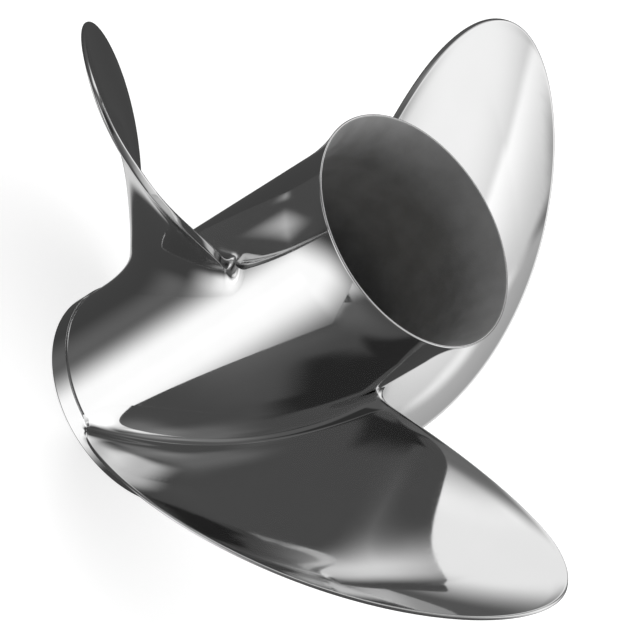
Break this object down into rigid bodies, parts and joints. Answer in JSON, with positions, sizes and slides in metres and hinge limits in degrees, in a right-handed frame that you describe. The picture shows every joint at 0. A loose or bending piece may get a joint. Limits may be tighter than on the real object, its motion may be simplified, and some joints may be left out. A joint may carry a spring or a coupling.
{
  "type": "outboard boat propeller",
  "caption": "Polished stainless steel boat propeller, right-hand, with raked cupped blades on a flared through-hub exhaust barrel.",
  "frame": {"origin": "centroid of the solids, on the shaft axis, 0.0838 m above the flat forward face that the propeller stands on", "axes": "+Z along the shaft axis towards the after end (the flared rim), +X towards the tip of the first blade, +Y completes the right-handed frame"},
  "size_m": [0.3282, 0.3402, 0.1937],
  "materials": {
    "polished_stainless": "mirror-polished stainless steel, satin inside the barrel",
    "moulded_plastic": "moulded, matte",
    "machined_brass": "machined"
  },
  "bodies": {
    "root": {"propeller_casting": "polished_stainless", "drive_sleeve": "moulded_plastic", "splined_adapter": "machined_brass"}
  },
  "joints": []
}
